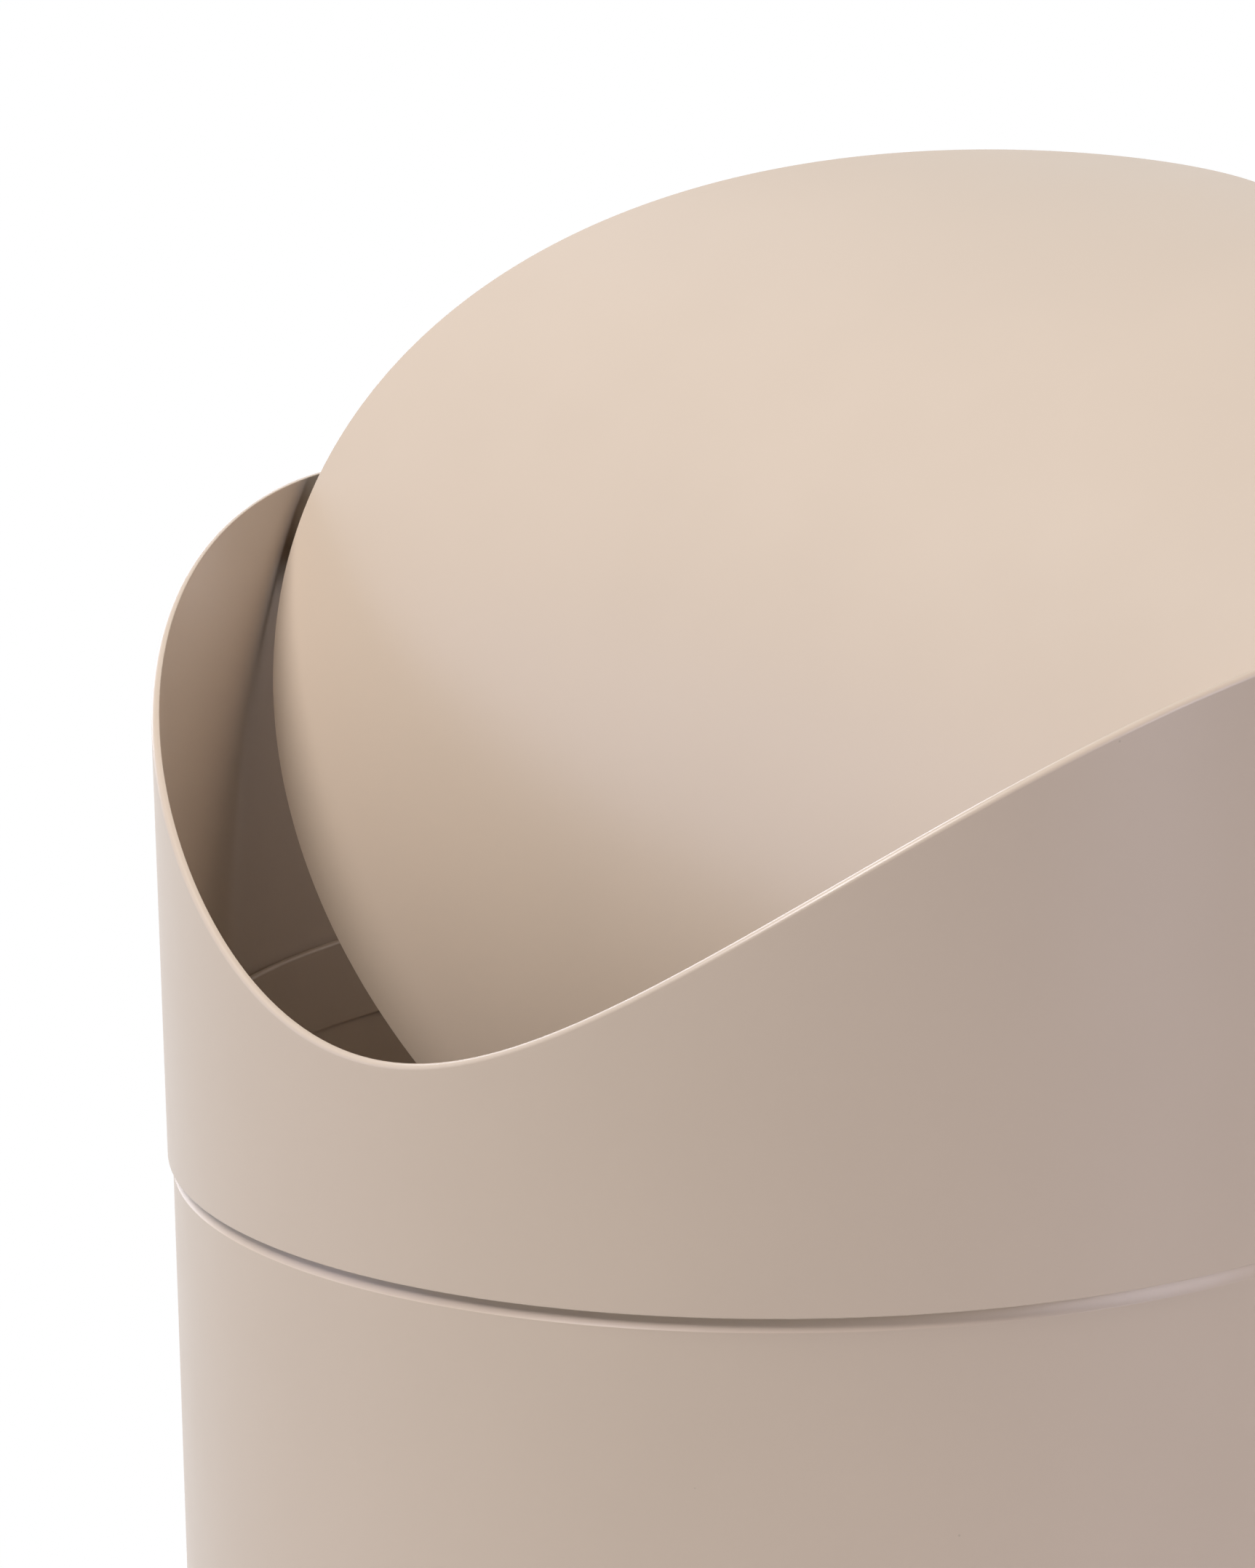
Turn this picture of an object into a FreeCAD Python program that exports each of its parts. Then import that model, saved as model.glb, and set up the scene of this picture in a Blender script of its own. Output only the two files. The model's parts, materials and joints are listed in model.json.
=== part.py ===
import FreeCAD, Part
import math
import os

# Round swing-lid bin: a tapered bucket, a lift-off collar and a vaulted lid on two blind pivots.
# Frame: +Z up, floor at z = 0, origin under the middle, pivots along X, the lid's low end towards -Y.
# Lengths are in millimetres and angles in degrees.

# Overall sizes
closed_height = 355.0        # floor to the crown of the closed lid
collar_height = 115.0        # collar's lower edge to the crown
collar_radius = 125.0        # outside of the collar at its lower edge
rim_dip = 74.0               # how far the vault falls over the collar's greatest radius
collar_draft = 0.45          # the collar widens upwards
body_draft = 0.25            # the body narrows downwards
lid_tilt = 56.3              # the lid's turn from closed, as it rests

# Walls
collar_wall = 1.6
body_wall = 2.4
neck_wall = 1.6
floor_wall = 3.0
lid_wall = 1.6

# Seam between collar and body
overhang = 1.0               # collar's outside over the body's outside
rebate_depth = 1.2           # shallow step in the body under the collar's lower edge
rebate_height = 2.2          # height of that step that shows below the collar
skirt_lap = 4.0              # how far the collar's skirt hangs below its seat
skirt_gap = 0.3              # play between the skirt and the body
seat_width = 0.9             # ledge of the body that carries the collar
neck_height = 16.0           # neck above the seat
guide_gap = 0.4              # play between the collar's guide band and the neck
guide_drop = 2.0             # guide band ends this far under the neck's rim
inner_step = 0.4             # height of the step inside, where the neck meets the body
inner_step_drop = 0.8        # that step starts this far under the seat

# Edge rounding
rim_round = 0.6              # collar's top rim
skirt_round = 0.2            # collar's lower edge
shoulder_round = 1.1         # body's turn inwards under the seam
neck_round = 0.6             # neck's rim
base_round = 7.0             # body's lower edge
base_inside_round = 5.0      # floor to wall, inside
edge_round_share = 0.35      # rounding of the lid's edge, of its wall

# Lid and pivots
lid_gap = 3.5                # lid's edge to the collar's outside, as seen in plan at the lower edge
pivot_drop = 12.0            # pivot axis under the crown
pin_radius = 3.0
pin_chamfer = 0.6
pin_head_radius = 5.0
pin_head_thickness = 1.6
pin_end_gap = 0.4            # pin's end to the floor of the boss
press_gap = 0.02             # radial gap of pieces pressed together
running_gap = 0.05           # radial gap of the pin in its bush
side_gap = 0.1               # end play between washer and bush
bush_wall = 1.5
bush_length = 5.5            # bush inside its boss
flange_thickness = 1.0
flange_radius = 5.8
boss_wall = 2.0
boss_floor = 0.6             # left behind the bush
washer_thickness = 0.8
washer_radius = 5.8
ear_thickness = 3.0
ear_wall = 4.0               # ear around the pin's hole
ear_spread = 7.0             # how much wider the ear is at the lid on each side

# Foot pads
pad_radius = 9.0
pad_thickness = 2.5
pad_proud = 1.0              # pad below the base
pad_gap = 0.2                # pad in its pocket
pad_inset = 24.0             # pad's centre inside the body's lower edge
pad_round = 0.5

overrun = 5.0                # spare length of cuts and blanks
rim_steps = 48               # points along the rim's line
pad_places = (
    ("front_left", -1, -1),
    ("front_right", 1, -1),
    ("rear_left", -1, 1),
    ("rear_right", 1, 1),
)

# Worked out from the sizes above
seam_z = closed_height - collar_height
seat_z = seam_z + skirt_lap
neck_top_z = seat_z + neck_height
guide_top_z = neck_top_z - guide_drop
collar_slope = math.tan(math.radians(collar_draft))
body_slope = math.tan(math.radians(body_draft))
crown_radius = collar_radius + collar_height * collar_slope
vault_radius = (crown_radius ** 2 + rim_dip ** 2) / (2 * rim_dip)
vault_z = closed_height - vault_radius
pivot_z = closed_height - pivot_drop
body_radius = collar_radius - overhang
rebate_radius = body_radius - rebate_depth
rebate_z = seam_z - rebate_height
neck_radius = rebate_radius - seat_width
neck_inside = neck_radius - neck_wall
base_z = pad_proud
base_radius = body_radius - (rebate_z - base_z) * body_slope
guide_radius = neck_radius + guide_gap
lid_radius = collar_radius - lid_gap
wall_x = collar_radius + (pivot_z - seam_z) * collar_slope - collar_wall
boss_face_x = wall_x - boss_floor - bush_length
flange_face_x = boss_face_x - flange_thickness
ear_face_x = flange_face_x - side_gap - washer_thickness
ear_back_x = ear_face_x - ear_thickness
bush_bore = pin_radius + running_gap
bush_radius = bush_bore + bush_wall
boss_radius = bush_radius + press_gap + boss_wall
ear_radius = pin_radius + press_gap + ear_wall


def vector(x, y, z):
    return FreeCAD.Vector(x, y, z)


def collar_outside(z):
    """Outer radius of the collar at height z."""
    return collar_radius + (z - seam_z) * collar_slope


def body_outside(z):
    """Outer radius of the body's wall at height z."""
    return base_radius + (z - base_z) * body_slope


def rounded_wire(corners):
    """Closed wire in the XZ plane through (radius, height, rounding) corners."""
    starts = []
    ends = []
    middles = []
    count = len(corners)
    for index in range(count):
        here = vector(corners[index][0], 0, corners[index][1])
        before = corners[index - 1]
        after = corners[(index + 1) % count]
        back = (vector(before[0], 0, before[1]) - here).normalize()
        ahead = (vector(after[0], 0, after[1]) - here).normalize()
        half = back.getAngle(ahead) / 2
        reach = corners[index][2] / math.tan(half)
        starts.append(here + back * reach)
        ends.append(here + ahead * reach)
        to_centre = (back + ahead).normalize()
        middles.append(here + to_centre * (corners[index][2] * (1 / math.sin(half) - 1)))
    edges = []
    for index in range(count):
        if corners[index][2] > 0:
            edges.append(Part.Arc(starts[index], middles[index], ends[index]).toShape())
        following = (index + 1) % count
        edges.append(Part.LineSegment(ends[index], starts[following]).toShape())
    return Part.Wire(edges)


def turned(corners):
    """Solid of revolution about Z."""
    face = Part.Face(rounded_wire(corners))
    return face.revolve(vector(0, 0, 0), vector(0, 0, 1), 360)


def bar(radius, start_x, end_x):
    """Round bar on the pivot axis between two places along X."""
    return Part.makeCylinder(radius, end_x - start_x, vector(start_x, 0, pivot_z), vector(1, 0, 0))


def vault(radius):
    """Long round bar along X whose upper side is the lid's vault, with its seam below."""
    reach = crown_radius + overrun
    long_bar = Part.makeCylinder(radius, 2 * reach, vector(-reach, 0, vault_z), vector(1, 0, 0))
    return long_bar.rotated(vector(0, 0, vault_z), vector(1, 0, 0), 180)


def round_edges(shape, radius, test):
    """Round the edges that pass the test."""
    return shape.makeFillet(radius, [edge for edge in shape.Edges if test(edge)])


def on_left(shape):
    """The same piece on the other side, turned half round Z."""
    return shape.rotated(vector(0, 0, 0), vector(0, 0, 1), 180)


def tilted(shape):
    """A piece of the closed lid, turned to the lid's rest."""
    return shape.rotated(vector(0, 0, pivot_z), vector(1, 0, 0), lid_tilt)


def pad_centre(side_x, side_y):
    """Middle of a foot pad on the base, at the pad's lower face."""
    reach = (base_radius - pad_inset) / math.sqrt(2)
    return vector(side_x * reach, side_y * reach, 0)


def make_bin_body():
    inside_top_z = seat_z - inner_step_drop
    inside_low_z = inside_top_z - inner_step
    floor_z = base_z + floor_wall
    inside_low = body_radius - body_wall
    inside_floor = body_outside(floor_z) - body_wall
    shell = turned([
        (0, base_z, 0),
        (base_radius, base_z, base_round),
        (body_outside(rebate_z), rebate_z, shoulder_round),
        (rebate_radius, rebate_z, 0),
        (rebate_radius, seat_z, 0),
        (neck_radius, seat_z, 0),
        (neck_radius, neck_top_z, neck_round),
        (neck_inside, neck_top_z, neck_round),
        (neck_inside, inside_top_z, 0),
        (inside_low, inside_low_z, 0),
        (inside_floor, floor_z, base_inside_round),
        (0, floor_z, 0),
    ])
    for name, side_x, side_y in pad_places:
        pocket = Part.makeCylinder(pad_radius + pad_gap, pad_thickness, pad_centre(side_x, side_y))
        shell = shell.cut(pocket)
    return shell


def make_foot_pad(side_x, side_y):
    pad = Part.makeCylinder(pad_radius, pad_thickness)
    pad = round_edges(pad, pad_round, lambda edge: edge.BoundBox.ZMax < pad_proud)
    return pad.translated(pad_centre(side_x, side_y))


def make_collar():
    """The ring is turned by a quarter, so that its seam lies apart from the seam of the cut."""
    blank_z = closed_height + overrun
    skirt_inside = rebate_radius + skirt_gap
    ring = turned([
        (skirt_inside, seam_z, skirt_round),
        (collar_radius, seam_z, skirt_round),
        (collar_outside(blank_z), blank_z, 0),
        (collar_outside(blank_z) - collar_wall, blank_z, 0),
        (collar_outside(guide_top_z) - collar_wall, guide_top_z, 0),
        (guide_radius, guide_top_z - (collar_outside(guide_top_z) - collar_wall - guide_radius), 0),
        (guide_radius, seat_z, 0),
        (skirt_inside, seat_z, 0),
    ])
    ring = ring.rotated(vector(0, 0, 0), vector(0, 0, 1), 90)
    boss = bar(boss_radius, boss_face_x, wall_x + collar_wall / 2)
    bore = bar(bush_radius + press_gap, boss_face_x - overrun, boss_face_x + bush_length)
    for place in (lambda shape: shape, on_left):
        ring = ring.fuse(place(boss)).cut(place(bore))
    ring = ring.removeSplitter().cut(above_rim())
    return round_edges(ring, rim_round, is_rim_edge)


def rim_line(radius):
    """Closed line at that radius, as high as the vault is over the collar's lower edge."""
    points = []
    for step in range(rim_steps):
        turn = 2 * math.pi * step / rim_steps
        reach = collar_radius * math.sin(turn)
        height = vault_z + math.sqrt(vault_radius ** 2 - reach ** 2)
        points.append(vector(radius * math.cos(turn), radius * math.sin(turn), height))
    line = Part.BSplineCurve()
    line.interpolate(Points=points, PeriodicFlag=True)
    return line.toShape()


def above_rim():
    """Everything over the rim, which is level across the wall."""
    inner = rim_line(collar_radius - overrun)
    outer = rim_line(collar_radius + overrun)
    return Part.makeRuledSurface(inner, outer).extrude(vector(0, 0, rim_dip + 2 * overrun))


def is_rim_edge(edge):
    """True for the two wavy edges of the collar's rim."""
    box = edge.BoundBox
    at_crown = box.ZMax > closed_height - 2 * rim_round
    return at_crown and box.ZMin > seam_z + overrun and edge.Length > collar_radius


def make_lid():
    blank = Part.makeCylinder(lid_radius, vault_radius + overrun, vector(0, 0, vault_z))
    sheet = blank.common(vault(vault_radius)).cut(vault(vault_radius - lid_wall))
    sheet = round_edges(sheet, lid_wall * edge_round_share, lambda edge: edge.Length > lid_radius)
    ear = make_ear()
    return tilted(sheet.fuse([ear, on_left(ear)]).removeSplitter())


def make_ear():
    """Ear under the lid's right side, closed lid: round below, wider where it meets the lid."""
    top_z = closed_height
    side_y = ear_radius + ear_spread
    outline = [
        vector(ear_back_x, -ear_radius, pivot_z),
        vector(ear_back_x, -side_y, top_z),
        vector(ear_back_x, side_y, top_z),
        vector(ear_back_x, ear_radius, pivot_z),
    ]
    sides = [Part.LineSegment(outline[i], outline[i + 1]).toShape() for i in range(3)]
    lowest = vector(ear_back_x, 0, pivot_z - ear_radius)
    foot = Part.Arc(outline[3], lowest, outline[0]).toShape()
    plate = Part.Face(Part.Wire(sides + [foot])).extrude(vector(ear_thickness, 0, 0))
    hole = bar(pin_radius + press_gap, ear_back_x - overrun, ear_face_x + overrun)
    return plate.cut(hole).common(vault(vault_radius - lid_wall / 2))


def make_pivot_pin():
    head = bar(pin_head_radius, ear_back_x - pin_head_thickness, ear_back_x)
    end_x = boss_face_x + bush_length - pin_end_gap
    shank = bar(pin_radius, ear_back_x, end_x)
    pin = head.fuse(shank).removeSplitter()
    return pin.makeChamfer(pin_chamfer, [e for e in pin.Edges if e.BoundBox.XMin > end_x - pin_chamfer])


def make_pivot_bush():
    sleeve = bar(bush_radius, boss_face_x, boss_face_x + bush_length)
    flange = bar(flange_radius, flange_face_x, boss_face_x)
    bore = bar(bush_bore, flange_face_x - overrun, boss_face_x + bush_length + overrun)
    return sleeve.fuse(flange).cut(bore).removeSplitter()


def make_drag_washer():
    ring = bar(washer_radius, ear_face_x, ear_face_x + washer_thickness)
    return ring.cut(bar(bush_bore, ear_face_x - overrun, ear_face_x + washer_thickness + overrun))


def make_all():
    pieces = {
        "bin_body": make_bin_body(),
        "collar": make_collar(),
        "lid": make_lid(),
    }
    makers = (
        ("pivot_pin", make_pivot_pin),
        ("pivot_bush", make_pivot_bush),
        ("drag_washer", make_drag_washer),
    )
    for name, maker in makers:
        pieces[name + "_right"] = maker()
        pieces[name + "_left"] = on_left(pieces[name + "_right"])
    for name, side_x, side_y in pad_places:
        pieces["foot_pad_" + name] = make_foot_pad(side_x, side_y)
    return pieces


def main():
    os.makedirs("parts", exist_ok=True)
    for name, shape in make_all().items():
        shape.Solids[0].exportStep("parts/" + name + ".step")


main()
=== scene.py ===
"""Looks of a round swing-lid bin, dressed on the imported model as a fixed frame.

Run as a script it registers one operator for each piece or group of like pieces and one for the
stage, and calls them in order. Lengths are metres.
"""

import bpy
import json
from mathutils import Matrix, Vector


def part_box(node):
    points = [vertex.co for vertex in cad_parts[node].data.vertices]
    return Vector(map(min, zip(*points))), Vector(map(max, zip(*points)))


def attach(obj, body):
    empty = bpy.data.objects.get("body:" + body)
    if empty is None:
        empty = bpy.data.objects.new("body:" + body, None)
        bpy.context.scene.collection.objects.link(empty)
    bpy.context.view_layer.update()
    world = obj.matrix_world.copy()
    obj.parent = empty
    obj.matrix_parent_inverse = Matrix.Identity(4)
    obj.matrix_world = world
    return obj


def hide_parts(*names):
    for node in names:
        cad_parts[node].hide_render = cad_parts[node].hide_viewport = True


bl_info = {
    "name": "Round Swing-Lid Bin",
    "version": (1, 0, 0),
    "blender": (4, 5, 0),
    "location": "3D View > Sidebar > Bin",
    "description": "Models the shells, pivots and feet of a round swing-lid bin, and its studio",
    "category": "Object",
}

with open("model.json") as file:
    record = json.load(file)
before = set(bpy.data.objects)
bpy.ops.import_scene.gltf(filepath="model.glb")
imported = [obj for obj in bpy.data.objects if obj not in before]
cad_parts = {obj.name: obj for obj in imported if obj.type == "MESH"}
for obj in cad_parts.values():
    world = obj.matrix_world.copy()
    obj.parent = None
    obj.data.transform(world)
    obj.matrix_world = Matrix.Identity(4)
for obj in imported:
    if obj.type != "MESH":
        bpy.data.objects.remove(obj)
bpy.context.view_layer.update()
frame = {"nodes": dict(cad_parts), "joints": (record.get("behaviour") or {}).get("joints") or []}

import json
import math
import bpy
from mathutils import Matrix, Vector

# Fineness of the meshes
turn_steps = 288
small_turn_steps = 72
half_turn_steps = small_turn_steps // 2
arc_steps = 6
rim_segments = 5
small_edge_segments = 2
wall_rows = 9
lid_rows = 96
helper_facets = 1152
smooth_angle = math.radians(40)
merge_distance = 1e-6

# Spare length that a later step takes away
spare = 0.002

# A helper's length over the radius or the plate that it has to pass
helper_reach = 3

# Grip grooves under a foot pad, as shares of its radius
groove_places = (0.3, 0.6)

# Texture of the plastics: noise scales, where the noise sets in, and how far the gloss varies
cloud_scale = 14.0
gloss_scale = 60.0
speck_scale = 110.0
noise_middle = (0.3, 0.7)
speck_reach = (0.015, 0.035)
speck_choice = (0.86, 0.9)
gloss_spread = 0.04

# Softboxes: how far they stand from what they light, and their widths
softbox_distance = 1.6
small_softbox = 0.5
large_softbox = 1.1

# Where the floor fades to white, as shares of its radius, and that white
floor_fade = (0.3, 0.9)
plain_white = (1, 1, 1, 1)

# Ways and sides, and the joint that the lid swings on
up = Vector((0, 0, 1))
right_way = Vector((1, 0, 0))
sides = ("right", "left")
lid_joint = next(joint for joint in frame["joints"] if joint["name"] == "lid_swing")


def length(label, words, metres):
    """A length in the panel."""
    return bpy.props.FloatProperty(
        name=label, description=words, default=metres, min=0, unit="LENGTH", precision=4
    )


def angle(label, words, degrees):
    """An angle in the panel."""
    return bpy.props.FloatProperty(
        name=label, description=words, default=math.radians(degrees), subtype="ANGLE"
    )


def number(label, words, value):
    """A plain number in the panel."""
    return bpy.props.FloatProperty(name=label, description=words, default=value, precision=3)


def colour(label, words, value):
    """A linear colour in the panel."""
    return bpy.props.FloatVectorProperty(
        name=label, description=words, default=value, size=3, min=0, subtype="COLOR"
    )


class BinShells(bpy.types.PropertyGroup):
    """Walls, laps and roundings of the three shells"""

    rim_dip: length("Rim dip", "Vault's fall over the collar's greatest radius", 0.074)
    collar_draft: angle("Collar draft", "How much the collar widens upwards", 0.45)
    body_draft: angle("Body draft", "How much the body narrows downwards", 0.25)
    lid_tilt: angle("Lid tilt", "Turn of the lid from closed, as it rests", 56.3)
    collar_wall: length("Collar wall", "Thickness of the collar", 0.0016)
    body_wall: length("Body wall", "Thickness of the body's side", 0.0024)
    neck_wall: length("Neck wall", "Thickness of the body's neck", 0.0016)
    floor_wall: length("Floor", "Thickness of the body's floor", 0.003)
    lid_wall: length("Lid wall", "Thickness of the lid", 0.0016)
    rebate_depth: length("Rebate depth", "Step in the body under the collar", 0.0012)
    rebate_height: length("Rebate height", "Collar's edge down to the shoulder's foot", 0.003)
    skirt_lap: length("Skirt lap", "How far the collar hangs below its seat", 0.004)
    skirt_gap: length("Skirt gap", "Play between the skirt and the body", 0.0003)
    seat_width: length("Seat width", "Ledge of the body that carries the collar", 0.0009)
    guide_gap: length("Guide gap", "Play between the collar's guide band and the neck", 0.0004)
    guide_drop: length("Guide drop", "Guide band's end under the neck's rim", 0.002)
    inner_step: length("Inner step", "Height of the step inside the neck's foot", 0.0004)
    inner_step_drop: length("Inner step drop", "That step's top under the seat", 0.0008)
    rim_round: length("Rim round", "Outer rounding of the collar's top rim", 0.001)
    rim_inner_round: length("Rim inner round", "Inner rounding of that rim", 0.0002)
    skirt_round: length("Skirt round", "Rounding of the collar's lower edge", 0.0002)
    shoulder_round: length("Shoulder round", "Rounding at the foot of the shoulder", 0.0003)
    shoulder_drop: length("Shoulder drop", "Collar's edge down to the shoulder's top", 0.0008)
    neck_round: length("Neck round", "Rounding of the neck's rim", 0.0006)
    base_round: length("Base round", "Rounding of the body's lower edge", 0.007)
    floor_round: length("Floor round", "Rounding from floor to side, inside", 0.005)
    lid_round: length("Lid round", "Rounding of the lid's edge", 0.00056)
    gate_radius: length("Gate radius", "Dimple in the middle of the base", 0.006)
    gate_depth: length("Gate depth", "Depth of that dimple", 0.0006)


class BinFittings(bpy.types.PropertyGroup):
    """Pivots and feet"""

    pin_radius: length("Pin radius", "Shank of the pivot pin", 0.003)
    pin_chamfer: length("Pin chamfer", "Chamfer on the pin's end", 0.0006)
    pin_head: length("Pin head", "Thickness of the pin's head", 0.0016)
    bush_bore: length("Bush bore", "Radius of the bush's hole", 0.00305)
    bush_radius: length("Bush radius", "Outside of the bush's sleeve", 0.00455)
    flange: length("Flange", "Thickness of the bush's flange", 0.001)
    press_gap: length("Press gap", "Gap of pieces pressed together", 0.00002)
    boss_wall: length("Boss wall", "Wall of the boss around the bush", 0.002)
    ear_thickness: length("Ear thickness", "Plate under the lid that holds the pin", 0.003)
    ear_wall: length("Ear wall", "Ear around the pin's hole", 0.004)
    ear_spread: length("Ear spread", "How much wider the ear is at the lid", 0.007)
    edge_round: length("Edge round", "Rounding of the fittings' small edges", 0.0003)
    pad_round: length("Pad round", "Rounding of a foot pad's edge", 0.0005)
    pad_gap: length("Pad gap", "Gap of a pad in its pocket", 0.0002)
    groove_depth: length("Groove depth", "Grip grooves under a foot pad", 0.0003)
    groove_width: length("Groove width", "Width of those grooves", 0.0009)


class BinFinish(bpy.types.PropertyGroup):
    """Colours and surface of the plastics"""

    shell: colour("Shell", "Warm beige of the shells", (0.545, 0.445, 0.335))
    pin: colour("Pins", "Pins' plastic", (0.58, 0.46, 0.37))
    bush: colour("Bushes", "Bushes' plastic", (0.72, 0.70, 0.66))
    washer: colour("Washers", "Washers' rubber", (0.045, 0.043, 0.04))
    foot: colour("Feet", "Foot pads' rubber", (0.14, 0.13, 0.12))
    roughness: number("Roughness", "Shells' roughness", 0.35)
    grain_depth: length("Grain depth", "Height of the plastics' moulded grain", 0.000004)
    washer_grain: length("Washer grain", "Height of the washers' grain", 0.000012)
    foot_grain: length("Foot grain", "Height of the foot pads' grain", 0.000016)


class BinStudio(bpy.types.PropertyGroup):
    """Camera, lights and floor"""

    azimuth: angle("Azimuth", "Camera's way around the bin", 42.0)
    elevation: angle("Elevation", "Camera's height over the horizon", 14.37)
    roll: angle("Roll", "Camera's lean", -1.2)
    distance: length("Distance", "Camera to the point that it is aimed by", 2.5)
    lens: number("Lens", "Focal length in millimetres", 296.99)
    aim_height: length("Aim height", "Height of the point that the camera is aimed by", 0.3025)
    aim_across: number("Aim across", "That point right of the picture's middle, in metres", 0.03437)
    aim_up: number("Aim up", "That point over the picture's middle, in metres", -0.007457)
    key_power: number("Key", "Softbox at the front left, watts", 18.4)
    high_power: number("High", "Softbox high on the left, watts", 12.8)
    right_power: number("Right", "Low softbox on the right, watts", 14.1)
    side_power: number("Side", "Softbox beside the bin on the right, watts", 3.1)
    back_power: number("Back", "Softbox behind on the left, watts", 16.8)
    left_power: number("Left", "Low softbox beside the bin on the left, watts", 4.5)
    under_power: number("Under", "Softbox straight below, for the underside, watts", 9.0)
    world_level: number("World", "Light from all round", 0.0)
    floor_radius: length("Floor radius", "Round floor under the bin", 0.6)
    floor: colour("Floor", "Pale grey of the floor", (0.9, 0.9, 0.9))
    floor_roughness: number("Floor roughness", "Floor's roughness", 0.8)


class BinPlan:
    """Measures of the bin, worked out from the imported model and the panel's values."""

    def __init__(self, shells):
        body_low, body_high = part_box("bin_body")
        collar_low, collar_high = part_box("collar")
        lid_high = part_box("lid")[1]
        self.collar_slope = math.tan(shells.collar_draft)
        self.body_slope = math.tan(shells.body_draft)
        self.crown_z = collar_high.z
        self.seam_z = collar_low.z
        self.seat_z = self.seam_z + shells.skirt_lap
        self.neck_top_z = body_high.z
        self.guide_top_z = self.neck_top_z - shells.guide_drop
        self.base_z = body_low.z
        self.floor_z = self.base_z + shells.floor_wall
        self.crown_radius = collar_high.x
        self.body_radius = body_high.x
        self.lid_radius = lid_high.x
        self.rebate_z = self.seam_z - shells.rebate_height
        self.rebate_radius = self.body_radius - shells.rebate_depth
        self.skirt_inside = self.rebate_radius + shells.skirt_gap
        self.neck_radius = self.rebate_radius - shells.seat_width
        self.guide_radius = self.neck_radius + shells.guide_gap
        dip = shells.rim_dip
        self.vault_radius = (self.crown_radius ** 2 + dip ** 2) / (2 * dip)
        self.vault_z = self.crown_z - self.vault_radius
        self.pivot = Vector(lid_joint["pos_m"])

    def collar_outside(self, z):
        """Outside radius of the collar at a height."""
        return self.crown_radius - (self.crown_z - z) * self.collar_slope

    def body_outside(self, z):
        """Outside radius of the body at a height."""
        return self.body_radius - (self.rebate_z - z) * self.body_slope

    def vault_top(self, y):
        """Height of the vault, which runs level along X."""
        return self.vault_z + math.sqrt(self.vault_radius ** 2 - y ** 2)

    def rim_height(self, at):
        """Height of the rim on the way out to a point: the vault's over the collar's lower edge."""
        return self.vault_top(self.collar_outside(self.seam_z) * at.y / at.xy.length)


# Modelling steps


def deselect():
    if bpy.context.mode != "OBJECT":
        bpy.ops.object.mode_set(mode="OBJECT")
    bpy.ops.object.select_all(action="DESELECT")


def named(name):
    """Name the piece that was just added, and put its place in its mesh."""
    piece = bpy.context.object
    piece.name = name
    piece.data.name = name
    bpy.ops.object.transform_apply(location=True, rotation=True, scale=True)
    return piece


def rounded(corners, ring):
    """Points through (across, along, rounding) corners, with each rounding as an arc.

    A ring ends where it starts.
    """
    points = []
    for index, (across, along, rounding) in enumerate(corners):
        here = Vector((across, along))
        if rounding == 0:
            points.append(here)
            continue
        before = Vector(corners[index - 1][:2])
        after = Vector(corners[(index + 1) % len(corners)][:2])
        back = (before - here).normalized()
        ahead = (after - here).normalized()
        half = back.angle(ahead) / 2
        centre = here + (back + ahead).normalized() * (rounding / math.sin(half))
        reach = rounding / math.tan(half)
        start = (here + back * reach - centre).normalized()
        end = (here + ahead * reach - centre).normalized()
        for step in range(arc_steps + 1):
            points.append(centre + start.slerp(end, step / arc_steps) * rounding)
    if ring:
        points.append(points[0])
    return points


def draw_line(name, points):
    """Draw a line by extruding one vertex from each point to the next, and stay in edit mode."""
    deselect()
    bpy.ops.mesh.primitive_plane_add(size=spare, location=points[0])
    piece = named(name)
    bpy.ops.object.mode_set(mode="EDIT")
    bpy.ops.mesh.select_mode(type="VERT")
    bpy.ops.mesh.select_all(action="SELECT")
    bpy.ops.mesh.merge(type="CENTER")
    for here, there in zip(points, points[1:]):
        bpy.ops.mesh.extrude_region_move(TRANSFORM_OT_translate={"value": there - here})
    bpy.ops.mesh.select_all(action="SELECT")
    return piece


def spin(centre, axis, steps):
    """Spin the drawn line all the way round, and close the mesh."""
    bpy.ops.mesh.spin(steps=steps, angle=math.tau, center=centre, axis=axis)
    close_mesh()


def close_mesh():
    """Join what meets, turn the faces outwards and leave edit mode."""
    bpy.ops.mesh.select_all(action="SELECT")
    bpy.ops.mesh.remove_doubles(threshold=merge_distance)
    bpy.ops.mesh.normals_make_consistent(inside=False)
    bpy.ops.object.mode_set(mode="OBJECT")


def turn_upright(name, corners, centre=(0, 0), steps=turn_steps, ring=False):
    """Turn (radius, height, rounding) corners about an upright axis."""
    middle = Vector((*centre, 0))
    line = rounded(corners, ring)
    piece = draw_line(name, [middle + Vector((across, 0, along)) for across, along in line])
    spin(middle, up, steps)
    return piece


def turn_level(name, corners, pivot, ring=False):
    """Turn (radius, place along X, rounding) corners about the pivot's axis."""
    line = rounded(corners, ring)
    points = [Vector((along, pivot.y, pivot.z + across)) for across, along in line]
    piece = draw_line(name, points)
    spin(pivot, right_way, small_turn_steps)
    return piece


def apply_modifier(piece, kind, **settings):
    bpy.context.view_layer.objects.active = piece
    modifier = piece.modifiers.new(kind.lower(), kind)
    for key, value in settings.items():
        setattr(modifier, key, value)
    bpy.ops.object.modifier_apply(modifier=modifier.name)


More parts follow.
